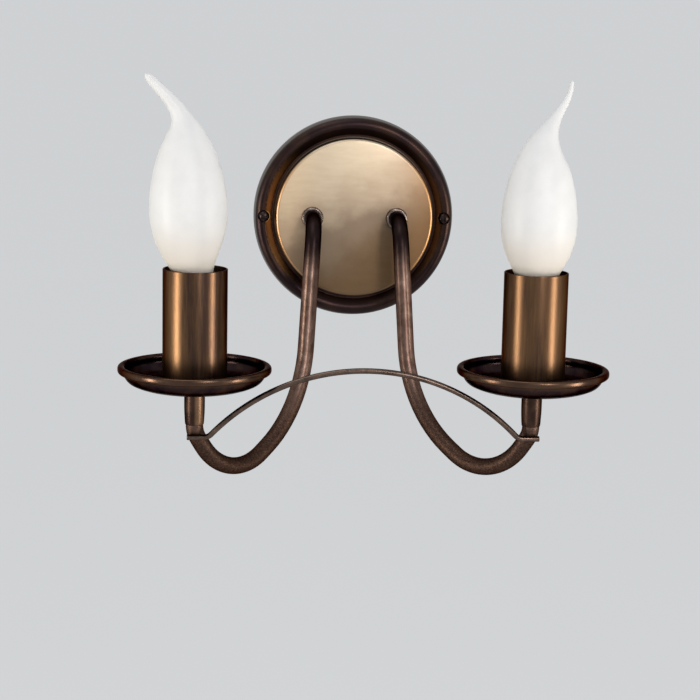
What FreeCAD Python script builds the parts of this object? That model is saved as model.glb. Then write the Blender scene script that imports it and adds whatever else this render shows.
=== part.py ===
import FreeCAD, Part
import math
import os

# Double arm wall sconce, in millimetres.
# The origin is the centre of the backplate on the wall. +Z is up, +X is to the right of someone who
# faces the wall, and the sconce stands out from the wall towards -Y.

Vector = FreeCAD.Vector
WALL_OUT = Vector(0, -1, 0)
UP = Vector(0, 0, 1)
SIDES = {"left": -1, "right": 1}

# Backplate: a spun shell. Heights are distances from the wall.
CANOPY_RADIUS = 50.2
CANOPY_SHEET = 1.2
RIM_WALL_HEIGHT = 4.6
RIM_SHOULDER_RADIUS = 49.3
RIM_SHOULDER_HEIGHT = 10.2
RIM_CREST_RADIUS = 45.9
RIM_CREST_HEIGHT = 12.3
GROOVE_RADIUS = 41.2
GROOVE_HEIGHT = 9.0
DISC_RADIUS = 39.5
DISC_HEIGHT = 15.0
DISC_EDGE_ROUND = 1.7

# Screws that hold the backplate to the bracket, and their pressed seats in the rim.
CANOPY_SCREW_X = 45.2
CANOPY_SCREW_RADIUS = 1.5
CANOPY_SCREW_HOLE = 1.75
SCREW_HEAD_RADIUS = 2.8
SCREW_HEAD_HEIGHT = 3.3
SCREW_SLOT_WIDTH = 0.8
SCREW_SEAT_RADIUS = 3.1
SCREW_SEAT_HEIGHT = 10.3

# Wall bracket: a pressed ring with a crossbar and two raised ears.
BRACKET_SHEET = 1.5
RING_OUTER = 39.0
RING_INNER = 27.0
CROSSBAR_WIDTH = 14.0
EAR_WIDTH = 12.0
EAR_RISE = 3.0
EAR_END = 48.2
EAR_STEP_X = 36.5
WALL_SLOT_SPACING = 66.0
WALL_SLOT_WIDTH = 4.5
WALL_SLOT_LENGTH = 8.0

# Arms: tube with threaded ends. Each corner of the centreline is (x, distance from wall, z, bend radius).
TUBE_RADIUS = 4.0
TUBE_BORE = 3.0
ARM_X = 21.0
CANDLE_X = 77.8
CANDLE_OUT = 102.7
ARM_INNER_END = 7.0
ARM_TOP_END = -62.6
ARM_CORNERS = (
    (ARM_X, ARM_INNER_END, 0.0, 0.0),
    (ARM_X, 35.0, 0.0, 14.0),
    (26.3, 48.0, -90.0, 60.0),
    (62.0, 90.0, -119.5, 30.0),
    (CANDLE_X, CANDLE_OUT, -90.0, 12.0),
    (CANDLE_X, CANDLE_OUT, ARM_TOP_END, 0.0),
)

# Collars outside the disc, washers and nuts inside it.
COLLAR_RADIUS = 5.4
COLLAR_HEIGHT = 2.4
THREAD_CLEARANCE = 0.1
ARM_WASHER_RADIUS = 7.0
ARM_WASHER_THICKNESS = 0.8
ARM_NUT_FLATS = 12.0
ARM_NUT_HEIGHT = 3.6

# Drip pans and the ferrules under them.
PAN_SHEET = 0.9
PAN_BOTTOM = -69.4
PAN_SIDE_START = 24.0
PAN_SIDE_TURN = 31.4
PAN_SIDE_TURN_HEIGHT = 3.8
PAN_BEAD_RING = 33.4
PAN_BEAD_HEIGHT = 9.0
PAN_BEAD_RADIUS = 1.7
FERRULE_TOP_RADIUS = 4.75
FERRULE_FOOT_RADIUS = 4.35
FERRULE_LENGTH = 16.8
PAN_NUT_HEIGHT = 2.6

# Tie rod: a round bar in an arch, with its brazed ends laid across the front of the hooks.
ROD_RADIUS = 1.3
ROD_OUT = 107.27
ROD_PEAK = -60.0
ROD_ARCH_RADIUS = 97.0
ROD_HALF_ARCH = 70.0
ROD_END_X = 81.2
ROD_END_BEND = 5.0

# Candle sleeves.
SLEEVE_RADIUS = 14.75
SLEEVE_SHEET = 0.8
SLEEVE_TOP = -14.3

# Lampholder for a small screw cap, carried on a bent strap.
STRAP_WIDTH = 9.0
STRAP_SHEET = 1.0
STRAP_HALF_SPAN = 12.0
STRAP_TOP = -40.0
HOLDER_RADIUS = 11.8
HOLDER_BOTTOM = -56.0
HOLDER_TOP = -19.3
HOLDER_FLOOR = -49.2
HOLDER_MOUTH_RADIUS = 8.9
HOLDER_MOUTH_DEPTH = 7.2
SHELL_OUTER = 7.6
SHELL_INNER = 7.05
SHELL_BOTTOM = -43.5
TERMINAL_OFFSET = 5.0
TERMINAL_HOLE = 1.0

# Bulb: screw cap and glass with a hand-bent tip. The body is (radius, z), and the circles of each tip are
# (z, offset of the centre, radius, tilt in degrees).
CAP_TOP = -21.3
CAP_SHOULDER = -25.0
CAP_BOTTOM = -42.0
CAP_SKIRT_RADIUS = 8.4
CAP_THREAD_RADIUS = 6.95
CAP_SHEET = 0.4
INSULATOR_BOTTOM = -45.1
CONTACT_RADIUS = 2.3
CONTACT_BOTTOM = -46.4
GLASS_WALL = 0.8
BULB_BODY = (
    (7.9, -24.4), (8.03, -21.3), (8.8, -17.8), (10.3, -14.0), (14.0, -7.0), (16.7, 1.0), (17.5, 9.0),
    (16.9, 18.5), (14.9, 28.5),
)
BULB_TIPS = {
    "left": (
        (33.4, 0.0, 13.4, 0.0), (38.0, 0.2, 11.65, 3.0), (42.2, 0.7, 9.75, 8.0), (46.2, 1.6, 7.8, 15.0),
        (49.6, 2.8, 6.15, 22.0), (52.6, 4.3, 4.95, 29.0), (55.6, 6.3, 4.05, 36.0), (58.8, 9.0, 3.35, 41.0),
        (62.3, 12.3, 2.85, 44.0), (66.1, 16.1, 2.45, 45.5), (69.8, 19.9, 2.1, 46.0), (72.4, 22.5, 1.6, 46.0),
    ),
    "right": (
        (33.4, 0.0, 13.35, 0.0), (38.0, 0.15, 11.5, 2.0), (42.2, 0.55, 9.5, 7.0), (46.2, 1.3, 7.4, 15.0),
        (49.6, 2.5, 5.55, 23.0), (52.6, 4.0, 4.15, 30.0), (55.6, 5.9, 3.15, 35.0), (58.8, 8.2, 2.45, 38.0),
        (62.0, 10.6, 1.95, 36.0), (65.2, 12.6, 1.6, 28.0), (68.4, 13.9, 1.35, 15.0), (72.8, 14.6, 1.05, 4.0),
    ),
}
# The hollow's top, as (radius, z). The tip above it is solid glass.
BULB_CROWN = ((12.55, 33.4), (10.65, 38.0), (8.6, 42.0), (6.0, 45.6), (3.2, 48.0), (0.0, 49.4))
# How far each tip is turned from straight outwards towards the wall.
TIP_TURN = {"left": 0.0, "right": 25.0}
STEM_RADIUS = 4.0
STEM_TOP = 0.0
FILAMENT_SPREAD = 5.0
FILAMENT_Z = 12.0

# Leads: a sheathed pair in each arm, with its cores free at both ends.
SHEATH_RADIUS = 2.9
CORE_RADIUS = 0.9
CORE_OFFSET = 1.0
CORE_BEND = 2.4
TIGHT_BEND = 1.4
CORE_TURN_X = 13.0
CORE_TURN_OUT = 3.2

# Terminal block on the crossbar: live, neutral and earth poles from the top down.
BLOCK_HALF_LENGTH = 9.0
BLOCK_HALF_HEIGHT = 12.5
BLOCK_DEPTH = 10.0
POLE_SPACING = 8.0
POLE_OUT = BRACKET_SHEET + 4.6
POLE_RADIUS = 1.9
POLE_BORE = 1.0
POLE_SCREW_X = 5.0
POLE_SCREW_RADIUS = 1.3
POLE_SCREW_WELL = 1.8
INSERT_HALF_LENGTH = 7.5
CORE_IN_POLE_X = 7.6
# Small screws in the crossbar: one holds the block, the other clamps the earth tag.
SMALL_SCREW_RADIUS = 1.45
SMALL_SCREW_HOLE = 1.5
SMALL_SCREW_END = 0.3
BLOCK_SCREW_Z = POLE_SPACING / 2
EARTH_Z = -19.0
TAG_SHEET = 0.8
TAG_RADIUS = 3.2
TAG_BARREL_END = 6.6
EARTH_LEAD_RADIUS = 1.0
EARTH_LOOP_X = 13.2


def from_wall(x, out, z):
    """A point given by its distance from the wall."""
    return Vector(x, -out, z)


def rounded_edges(corners, radii):
    """Lines through the corners, joined by tangent arcs of the given radii."""
    edges = []
    here = corners[0]
    for before, corner, after, radius in zip(corners, corners[1:], corners[2:], radii[1:]):
        back = (before - corner).normalize()
        ahead = (after - corner).normalize()
        if radius > 0:
            half_angle = back.getAngle(ahead) / 2
            tangent = radius / math.tan(half_angle)
            start = corner + back * tangent
            end = corner + ahead * tangent
            inward = (back + ahead).normalize()
            middle = corner + inward * (radius / math.sin(half_angle) - radius)
            edges.append(Part.makeLine(here, start))
            edges.append(Part.Arc(start, middle, end).toShape())
            here = end
        else:
            edges.append(Part.makeLine(here, corner))
            here = corner
    edges.append(Part.makeLine(here, corners[-1]))
    return edges


def profile_face(points, place):
    """A closed face through (a, b) or (a, b, rounding) points, set in space by the place function."""
    corners = [place(point[0], point[1]) for point in points]
    radii = [point[2] if len(point) > 2 else 0.0 for point in points]
    loop = rounded_edges(corners + [corners[0]], radii + [0.0])
    return Part.Face(Part.Wire(loop))


def sheet_outline(outside, sheet):
    """Closes an open line of (a, b, rounding) points into a sheet that lies on its left-hand side.

    A bend towards the sheet gets a smaller rounding inside, and a bend away from it a larger one.
    """
    flat = [Vector(point[0], point[1], 0) for point in outside]
    runs = [(end - start).normalize() for start, end in zip(flat, flat[1:])]
    inside = []
    for index, (corner, point) in enumerate(zip(flat, outside)):
        before = runs[max(index - 1, 0)]
        after = runs[min(index, len(runs) - 1)]
        middle = (before + after).normalize()
        turn = before.cross(after).z
        step = sheet / middle.dot(after)
        moved = corner + Vector(-middle.y, middle.x, 0) * step
        rounding = point[2] if len(point) > 2 else 0.0
        inner = max(rounding - math.copysign(sheet, turn), 0.0) if rounding > 0 else 0.0
        inside.append((moved.x, moved.y, inner))
    return list(outside) + inside[::-1]


def turned_from_wall(points, x=0.0, z=0.0):
    """Revolves (radius, distance from wall) points round an axis square to the wall."""
    face = profile_face(points, lambda radius, out: from_wall(x + radius, out, z))
    return face.revolve(Vector(x, 0, z), WALL_OUT, 360)


def turned_upright(points, side):
    """Revolves (radius, z) points round a candle's axis."""
    x = SIDES[side] * CANDLE_X
    face = profile_face(points, lambda radius, z: from_wall(x + radius, CANDLE_OUT, z))
    return face.revolve(from_wall(x, CANDLE_OUT, 0), UP, 360)


def tube_along(edges, radius):
    """A round bar of the given radius along joined edges."""
    path = Part.Wire(edges)
    first = edges[0]
    start = first.valueAt(first.FirstParameter)
    direction = first.tangentAt(first.FirstParameter)
    ring = Part.Wire(Part.makeCircle(radius, start, direction))
    return path.makePipeShell([ring], True, False)


def bent_bar(corners, bend_radius, radius):
    """A round bar through the corners, every bend of one radius."""
    return tube_along(rounded_edges(corners, [bend_radius] * len(corners)), radius)


def hexagon(flats, height, base, direction):
    """A hexagonal prism that stands on base."""
    corner_radius = flats / math.sqrt(3)
    points = []
    for step in range(6):
        angle = math.radians(60 * step)
        points.append(Vector(corner_radius * math.cos(angle), corner_radius * math.sin(angle), 0))
    prism = Part.Face(Part.makePolygon(points + [points[0]])).extrude(Vector(0, 0, height))
    prism.Placement = FreeCAD.Placement(base, FreeCAD.Rotation(UP, direction))
    return prism


def export(shape, name):
    """Writes one node, and stops where a shape isn't valid or a solid is inside out."""
    if not shape.isValid() or min(solid.Volume for solid in shape.Solids) <= 0:
        raise RuntimeError(name + " isn't a valid shape")
    shape.exportStep("parts/" + name + ".step")
    print(name, "volume", round(shape.Volume, 1), "solids", len(shape.Solids))


# On the wall

def canopy():
    """Rim with a rounded moulding, a groove and the raised disc, all of one sheet."""
    outside = [
        (CANOPY_RADIUS, 0.0),
        (CANOPY_RADIUS, RIM_WALL_HEIGHT, 3.0),
        (RIM_SHOULDER_RADIUS, RIM_SHOULDER_HEIGHT, 2.8),
        (RIM_CREST_RADIUS, RIM_CREST_HEIGHT, 3.0),
        (GROOVE_RADIUS, GROOVE_HEIGHT, 0.5),
        (DISC_RADIUS, GROOVE_HEIGHT, 0.3),
        (DISC_RADIUS, DISC_HEIGHT, DISC_EDGE_ROUND),
        (0.0, DISC_HEIGHT),
    ]
    shell = turned_from_wall(sheet_outline(outside, CANOPY_SHEET))
    for sign in SIDES.values():
        screw = from_wall(sign * CANOPY_SCREW_X, 0, 0)
        arm = from_wall(sign * ARM_X, 0, 0)
        seat_base = screw + WALL_OUT * (SCREW_SEAT_HEIGHT - CANOPY_SHEET)
        seat = Part.makeCylinder(SCREW_SEAT_RADIUS, CANOPY_SHEET, seat_base, WALL_OUT)
        above = Part.makeCylinder(SCREW_SEAT_RADIUS, DISC_HEIGHT, seat_base + WALL_OUT * CANOPY_SHEET, WALL_OUT)
        shell = shell.cut(above).fuse(seat)
        shell = shell.cut(Part.makeCylinder(CANOPY_SCREW_HOLE, DISC_HEIGHT, screw, WALL_OUT))
        shell = shell.cut(Part.makeCylinder(TUBE_RADIUS + THREAD_CLEARANCE, DISC_HEIGHT, arm, WALL_OUT))
    return shell


def wall_bracket():
    ring = Part.makeCylinder(RING_OUTER, BRACKET_SHEET, Vector(0, 0, 0), WALL_OUT)
    ring = ring.cut(Part.makeCylinder(RING_INNER, BRACKET_SHEET, Vector(0, 0, 0), WALL_OUT))
    bar = Part.makeBox(CROSSBAR_WIDTH, BRACKET_SHEET, 2 * RING_INNER + 4)
    bar.translate(Vector(-CROSSBAR_WIDTH / 2, -BRACKET_SHEET, -RING_INNER - 2))
    plate = ring.fuse(bar)
    for sign in SIDES.values():
        plate = plate.fuse(bracket_ear(sign))
        slot_centre = from_wall(0, 0, sign * WALL_SLOT_SPACING / 2)
        plate = plate.cut(wall_slot(slot_centre))
        screw = from_wall(sign * CANOPY_SCREW_X, 0, 0)
        plate = plate.cut(Part.makeCylinder(CANOPY_SCREW_RADIUS, DISC_HEIGHT, screw, WALL_OUT))
    for z in (BLOCK_SCREW_Z, EARTH_Z):
        plate = plate.cut(Part.makeCylinder(SMALL_SCREW_HOLE, BRACKET_SHEET, from_wall(0, 0, z), WALL_OUT))
    return plate.removeSplitter()


def bracket_ear(sign):
    """One ear, stepped forward from the ring to the height of the screw."""
    front = EAR_RISE + BRACKET_SHEET
    points = [
        (EAR_STEP_X - 2.5, 0.0),
        (EAR_STEP_X, 0.0, 0.8),
        (EAR_STEP_X + 2.5, EAR_RISE, 0.8),
        (EAR_END, EAR_RISE),
        (EAR_END, front),
        (EAR_STEP_X + 1.8, front, 2.0),
        (EAR_STEP_X - 0.7, BRACKET_SHEET, 2.0),
        (EAR_STEP_X - 2.5, BRACKET_SHEET),
    ]
    face = profile_face(points, lambda x, out: from_wall(sign * x, out, -EAR_WIDTH / 2))
    return face.extrude(UP * EAR_WIDTH)


def wall_slot(centre):
    """A slot with round ends, longest along Z."""
    radius = WALL_SLOT_WIDTH / 2
    half = WALL_SLOT_LENGTH / 2 - radius
    deep = 2 * BRACKET_SHEET
    start = centre - WALL_OUT * BRACKET_SHEET / 2
    middle = Part.makeBox(WALL_SLOT_WIDTH, deep, 2 * half)
    middle.translate(start + Vector(-radius, -deep, -half))
    ends = [Part.makeCylinder(radius, deep, start + UP * z, WALL_OUT) for z in (-half, half)]
    return middle.multiFuse(ends)


def slotted_screw(x, z, head_base, thread_end):
    """A round-head screw square to the wall, with its slot upright."""
    top = head_base + SCREW_HEAD_HEIGHT
    screw = turned_from_wall([
        (0.0, thread_end),
        (CANOPY_SCREW_RADIUS - THREAD_CLEARANCE / 2, thread_end, 0.4),
        (CANOPY_SCREW_RADIUS - THREAD_CLEARANCE / 2, head_base),
        (SCREW_HEAD_RADIUS, head_base),
        (SCREW_HEAD_RADIUS, top, 2.2),
        (0.0, top),
    ], x, z)
    slot = Part.makeBox(SCREW_SLOT_WIDTH, 1.3, 2 * SCREW_HEAD_RADIUS + 1)
    slot.translate(from_wall(x - SCREW_SLOT_WIDTH / 2, top + 0.1, z - SCREW_HEAD_RADIUS - 0.5))
    return screw.cut(slot)


def canopy_screws():
    ends = [slotted_screw(sign * CANOPY_SCREW_X, 0, SCREW_SEAT_HEIGHT, 2.0) for sign in SIDES.values()]
    return Part.makeCompound(ends)


def terminal_block():
    block = Part.makeBox(2 * BLOCK_HALF_LENGTH, BLOCK_DEPTH, 2 * BLOCK_HALF_HEIGHT)
    block.translate(from_wall(-BLOCK_HALF_LENGTH, BRACKET_SHEET + BLOCK_DEPTH, -BLOCK_HALF_HEIGHT))
    block = block.makeFillet(1.0, [edge for edge in block.Edges if upright_edge_in_front(edge)])
    for pole in range(-1, 2):
        z = pole * POLE_SPACING
        start = from_wall(-BLOCK_HALF_LENGTH, POLE_OUT, z)
        block = block.cut(Part.makeCylinder(POLE_RADIUS, 2 * BLOCK_HALF_LENGTH, start, Vector(1, 0, 0)))
        for sign in SIDES.values():
            well = from_wall(sign * POLE_SCREW_X, POLE_OUT, z)
            block = block.cut(Part.makeCylinder(POLE_SCREW_WELL, BLOCK_DEPTH, well, WALL_OUT))
    screw = from_wall(0, BRACKET_SHEET, BLOCK_SCREW_Z)
    return block.cut(Part.makeCylinder(SMALL_SCREW_HOLE, BLOCK_DEPTH, screw, WALL_OUT))


def upright_edge_in_front(edge):
    """True for the block's long front edges, which are rounded."""
    front = -(BRACKET_SHEET + BLOCK_DEPTH)
    return all(abs(vertex.Y - front) < 0.01 for vertex in edge.Vertexes) and edge.Length > 20


def terminal_inserts():
    """A brass tube in each pole, with a clamping screw over each end."""
    solids = []
    length = 2 * INSERT_HALF_LENGTH
    for pole in range(-1, 2):
        z = pole * POLE_SPACING
        start = from_wall(-INSERT_HALF_LENGTH, POLE_OUT, z)
        insert = Part.makeCylinder(POLE_RADIUS, length, start, Vector(1, 0, 0))
        for sign in SIDES.values():
            screw_end = from_wall(sign * POLE_SCREW_X, POLE_OUT + POLE_BORE, z)
            insert = insert.fuse(Part.makeCylinder(POLE_SCREW_RADIUS, 4.0, screw_end, WALL_OUT))
        solids.append(insert.cut(Part.makeCylinder(POLE_BORE, length, start, Vector(1, 0, 0))))
    return Part.makeCompound(solids)


def terminal_screw():
    head_base = BRACKET_SHEET + BLOCK_DEPTH
    return turned_from_wall([
        (0.0, SMALL_SCREW_END),
        (SMALL_SCREW_RADIUS, SMALL_SCREW_END),
        (SMALL_SCREW_RADIUS, head_base),
        (2.2, head_base),
        (2.2, head_base + 1.5, 0.6),
        (0.0, head_base + 1.5),
    ], 0, BLOCK_SCREW_Z)


def earth_screw():
    """A screw in the crossbar that clamps a ring tag."""
    tag_top = BRACKET_SHEET + TAG_SHEET
    screw = turned_from_wall([
        (0.0, SMALL_SCREW_END),
        (SMALL_SCREW_RADIUS, SMALL_SCREW_END),
        (SMALL_SCREW_RADIUS, tag_top),
        (2.6, tag_top),
        (2.6, tag_top + 2.0, 0.8),
        (0.0, tag_top + 2.0),
    ], 0, EARTH_Z)
    base = from_wall(0, BRACKET_SHEET, EARTH_Z)
    barrel_start = from_wall(2.8, BRACKET_SHEET + 1.4, EARTH_Z)
    barrel = Part.makeCylinder(1.4, TAG_BARREL_END - 2.8, barrel_start, Vector(1, 0, 0))
    tag = Part.makeCylinder(TAG_RADIUS, TAG_SHEET, base, WALL_OUT).fuse(barrel)
    return Part.makeCompound([screw, tag.cut(Part.makeCylinder(SMALL_SCREW_HOLE, TAG_SHEET, base, WALL_OUT))])


def earth_lead():
    """From the tag round to the right-hand end of the lowest pole."""
    corners = [
        from_wall(TAG_BARREL_END, BRACKET_SHEET + 1.4, EARTH_Z),
        from_wall(EARTH_LOOP_X, BRACKET_SHEET + 1.4, EARTH_Z),
        from_wall(EARTH_LOOP_X, POLE_OUT, -POLE_SPACING),
        from_wall(CORE_IN_POLE_X, POLE_OUT, -POLE_SPACING),
    ]
    return bent_bar(corners, CORE_BEND, EARTH_LEAD_RADIUS)


# Arms

def arm_edges():
    """The right arm's centreline."""
    corners = [from_wall(x, out, z) for x, out, z, bend in ARM_CORNERS]
    return rounded_edges(corners, [corner[3] for corner in ARM_CORNERS])


def on_side(right_shape, side):
    """The same shape, mirrored where it belongs on the left."""
    if side == "left":
        return right_shape.mirror(Vector(0, 0, 0), Vector(1, 0, 0))
    return right_shape


def arm(side):
    edges = arm_edges()
    tube = tube_along(edges, TUBE_RADIUS).cut(tube_along(edges, TUBE_BORE))
    return on_side(tube, side)


def arm_collars():
    top = DISC_HEIGHT + COLLAR_HEIGHT
    bore = TUBE_RADIUS + THREAD_CLEARANCE
    points = [
        (bore, DISC_HEIGHT),
        (COLLAR_RADIUS, DISC_HEIGHT),
        (COLLAR_RADIUS, top, 1.2),
        (bore, top),
    ]
    return Part.makeCompound([turned_from_wall(points, sign * ARM_X) for sign in SIDES.values()])


def arm_washers():
    inner = DISC_HEIGHT - CANOPY_SHEET
    bore = TUBE_RADIUS + THREAD_CLEARANCE
    points = [
        (bore, inner),
        (ARM_WASHER_RADIUS, inner),
        (ARM_WASHER_RADIUS, inner - ARM_WASHER_THICKNESS),
        (bore, inner - ARM_WASHER_THICKNESS),
    ]
    return Part.makeCompound([turned_from_wall(points, sign * ARM_X) for sign in SIDES.values()])


def arm_nuts():
    top = DISC_HEIGHT - CANOPY_SHEET - ARM_WASHER_THICKNESS
    nuts = []
    for sign in SIDES.values():
        base = from_wall(sign * ARM_X, top - ARM_NUT_HEIGHT, 0)
        nut = hexagon(ARM_NUT_FLATS, ARM_NUT_HEIGHT, base, WALL_OUT)
        nuts.append(nut.cut(Part.makeCylinder(TUBE_RADIUS, ARM_NUT_HEIGHT, base, WALL_OUT)))
    return Part.makeCompound(nuts)


def tie_rod():
    """The arch, then a short bend at each end into the run that is brazed across a hook."""
    centre_z = ROD_PEAK - ROD_ARCH_RADIUS
    angle = math.asin(ROD_HALF_ARCH / ROD_ARCH_RADIUS)
    drop_z = centre_z + ROD_ARCH_RADIUS * math.cos(angle)
    tangent = ROD_END_BEND * math.tan(angle / 2)
    edges = []
    for sign in (-1, 1):
        arch_end = from_wall(sign * ROD_HALF_ARCH, ROD_OUT, drop_z)
        slope = Vector(sign * math.cos(angle), 0, -math.sin(angle))
        corner = arch_end + slope * tangent
        outward = Vector(sign, 0, 0)
        bend_end = corner + outward * tangent
        inward = (outward - slope).normalize()
        middle = corner + inward * ROD_END_BEND * (1 / math.cos(angle / 2) - 1)
        bend = Part.Arc(arch_end, middle, bend_end).toShape()
        tail = Part.makeLine(bend_end, from_wall(sign * ROD_END_X, ROD_OUT, corner.z))
        edges.append((bend, tail))
    ends = [from_wall(sign * ROD_HALF_ARCH, ROD_OUT, drop_z) for sign in (-1, 1)]
    arch = Part.Arc(ends[0], from_wall(0, ROD_OUT, ROD_PEAK), ends[1]).toShape()
    left_bend, left_tail = edges[0]
    right_bend, right_tail = edges[1]
    path = Part.Wire([left_tail, left_bend, arch, right_bend, right_tail])
    start = from_wall(-ROD_END_X, ROD_OUT, left_tail.Vertexes[0].Z)
    ring = Part.Wire(Part.makeCircle(ROD_RADIUS, start, Vector(1, 0, 0)))
    return path.makePipeShell([ring], True, False)


def lead(side):
    """The sheath along the whole arm, then two cores to the terminals at each end."""
    solids = [tube_along(arm_edges(), SHEATH_RADIUS)]
    for core, pole_z in ((-1, 0.0), (1, POLE_SPACING)):
        wall_end = [
            from_wall(ARM_X, ARM_INNER_END, core * CORE_OFFSET),
            from_wall(ARM_X, CORE_TURN_OUT, core * CORE_OFFSET),
            from_wall(CORE_TURN_X, POLE_OUT, pole_z),
            from_wall(CORE_IN_POLE_X, POLE_OUT, pole_z),
        ]
        solids.append(bent_bar(wall_end, CORE_BEND, CORE_RADIUS))
        near = CANDLE_X + core * CORE_OFFSET
        far = CANDLE_X + core * TERMINAL_OFFSET
        candle_end = [
            from_wall(near, CANDLE_OUT, ARM_TOP_END),
            from_wall(near, CANDLE_OUT, ARM_TOP_END + 1.6),
            from_wall(far, CANDLE_OUT, HOLDER_BOTTOM - 1.2),
            from_wall(far, CANDLE_OUT, HOLDER_BOTTOM + 3.0),
        ]
        solids.append(bent_bar(candle_end, TIGHT_BEND, CORE_RADIUS))
    return on_side(Part.makeCompound(solids), side)


# Candles

def ferrule(side):
    bore = TUBE_RADIUS + THREAD_CLEARANCE
    foot = PAN_BOTTOM - FERRULE_LENGTH
    return turned_upright([
        (bore, PAN_BOTTOM),
        (FERRULE_TOP_RADIUS, PAN_BOTTOM),
        (FERRULE_TOP_RADIUS, foot + 7.0, 12.0),
        (FERRULE_FOOT_RADIUS, foot),
        (bore, foot),
    ], side)


def pan(side):
    """A dish with a flat seat, a side that steepens outwards and a thick rolled edge."""
    bore = TUBE_RADIUS + THREAD_CLEARANCE
    dish = turned_upright(sheet_outline([
        (bore, PAN_BOTTOM),
        (PAN_SIDE_START, PAN_BOTTOM, 23.0),
        (PAN_SIDE_TURN, PAN_BOTTOM + PAN_SIDE_TURN_HEIGHT, 6.0),
        (PAN_BEAD_RING, PAN_BOTTOM + PAN_BEAD_HEIGHT),
    ], PAN_SHEET), side)
    bead_centre = from_wall(SIDES[side] * CANDLE_X, CANDLE_OUT, PAN_BOTTOM + PAN_BEAD_HEIGHT)
    return dish.fuse(Part.makeTorus(PAN_BEAD_RING, PAN_BEAD_RADIUS, bead_centre, UP))


def pan_nuts():
    nuts = []
    base_z = PAN_BOTTOM + PAN_SHEET
    for sign in SIDES.values():
        base = from_wall(sign * CANDLE_X, CANDLE_OUT, base_z)
        nut = hexagon(ARM_NUT_FLATS, PAN_NUT_HEIGHT, base, UP)
        nuts.append(nut.cut(Part.makeCylinder(TUBE_RADIUS, PAN_NUT_HEIGHT, base, UP)))
    return Part.makeCompound(nuts)


def sleeve(side):
    seat = PAN_BOTTOM + PAN_SHEET
    return turned_upright([
        (SLEEVE_RADIUS - SLEEVE_SHEET, seat),
        (SLEEVE_RADIUS, seat),
        (SLEEVE_RADIUS, SLEEVE_TOP, 0.3),
        (SLEEVE_RADIUS - SLEEVE_SHEET, SLEEVE_TOP, 0.3),
    ], side)


def holder_strap(side):
    """A flat strip bent up on both sides of the lampholder, screwed on the arm's end."""
    x = SIDES[side] * CANDLE_X
    base = PAN_BOTTOM + PAN_SHEET + PAN_NUT_HEIGHT
    outer = STRAP_HALF_SPAN
    inner = outer - STRAP_SHEET
    points = [
        (-outer, STRAP_TOP),
        (-outer, base, 2.5),
        (outer, base, 2.5),
        (outer, STRAP_TOP),
        (inner, STRAP_TOP),
        (inner, base + STRAP_SHEET, 1.5),
        (-inner, base + STRAP_SHEET, 1.5),
        (-inner, STRAP_TOP),
    ]
    front = CANDLE_OUT + STRAP_WIDTH / 2
    face = profile_face(points, lambda a, b: from_wall(x + a, front, b))
    strap = face.extrude(Vector(0, STRAP_WIDTH, 0))
    axis = from_wall(x, CANDLE_OUT, base)
    boss = Part.makeCylinder(6.0, ARM_TOP_END - base, axis, UP)
    return strap.fuse(boss).cut(Part.makeCylinder(TUBE_RADIUS, 10, axis, UP))


def lampholder(side):
    x = SIDES[side] * CANDLE_X
    body = turned_upright([
        (0.0, HOLDER_BOTTOM),
        (HOLDER_RADIUS, HOLDER_BOTTOM, 0.8),
        (HOLDER_RADIUS, HOLDER_TOP - 3.0),
        (HOLDER_RADIUS - 0.8, HOLDER_TOP, 0.6),
        (HOLDER_MOUTH_RADIUS, HOLDER_TOP),
        (HOLDER_MOUTH_RADIUS, HOLDER_TOP - HOLDER_MOUTH_DEPTH),
        (SHELL_OUTER, HOLDER_TOP - HOLDER_MOUTH_DEPTH),
        (SHELL_OUTER, HOLDER_FLOOR),
        (0.0, HOLDER_FLOOR),
    ], side)
    for sign in SIDES.values():
        entry = from_wall(x + sign * TERMINAL_OFFSET, CANDLE_OUT, HOLDER_BOTTOM)
        body = body.cut(Part.makeCylinder(TERMINAL_HOLE, 4.0, entry, UP))
        recess = Part.makeBox(2.0, STRAP_WIDTH + 0.4, STRAP_TOP - HOLDER_BOTTOM + 1)
        middle = x + sign * (STRAP_HALF_SPAN - STRAP_SHEET + 1.0)
        recess.translate(from_wall(middle - 1.0, CANDLE_OUT + STRAP_WIDTH / 2 + 0.2, HOLDER_BOTTOM - 0.5))
        body = body.cut(recess)
    return body


def thread_shell(side):
    return turned_upright([
        (SHELL_INNER, SHELL_BOTTOM),
        (SHELL_OUTER, SHELL_BOTTOM),
        (SHELL_OUTER, HOLDER_TOP - HOLDER_MOUTH_DEPTH),
        (SHELL_INNER, HOLDER_TOP - HOLDER_MOUTH_DEPTH),
    ], side)


def centre_contact(side):
    """A strip on the holder's floor, folded back up under the bulb."""
    x = SIDES[side] * CANDLE_X
    low = HOLDER_FLOOR
    high = CONTACT_BOTTOM - 0.1
    sheet = 0.4
    points = [
        (-5.5, low),
        (5.0, low),
        (5.6, low + sheet, 0.2),
        (2.2, high, 0.6),
        (-2.2, high),
        (-2.2, high - sheet),
        (1.8, high - sheet, 0.6),
        (4.2, low + sheet),
        (-5.5, low + sheet),
    ]
    face = profile_face(points, lambda a, b: from_wall(x + a, CANDLE_OUT + 2.0, b))
    return face.extrude(Vector(0, 4.0, 0))


# Bulbs

def bulb_ring(side, station):
    """One circle of the bulb's outside, set off and tilted the way the tip bends."""
    z, offset, radius, tilt = station
    turn = math.radians(TIP_TURN[side])
    towards_tip = Vector(SIDES[side] * math.cos(turn), math.sin(turn), 0)
    lean = math.radians(tilt)
    normal = UP * math.cos(lean) + towards_tip * math.sin(lean)
    centre = from_wall(SIDES[side] * CANDLE_X, CANDLE_OUT, z) + towards_tip * offset
    circle = Part.Circle(centre, normal, radius)
    circle.XAxis = towards_tip * math.cos(lean) - UP * math.sin(lean)
    return Part.Wire(circle.toShape())


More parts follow.
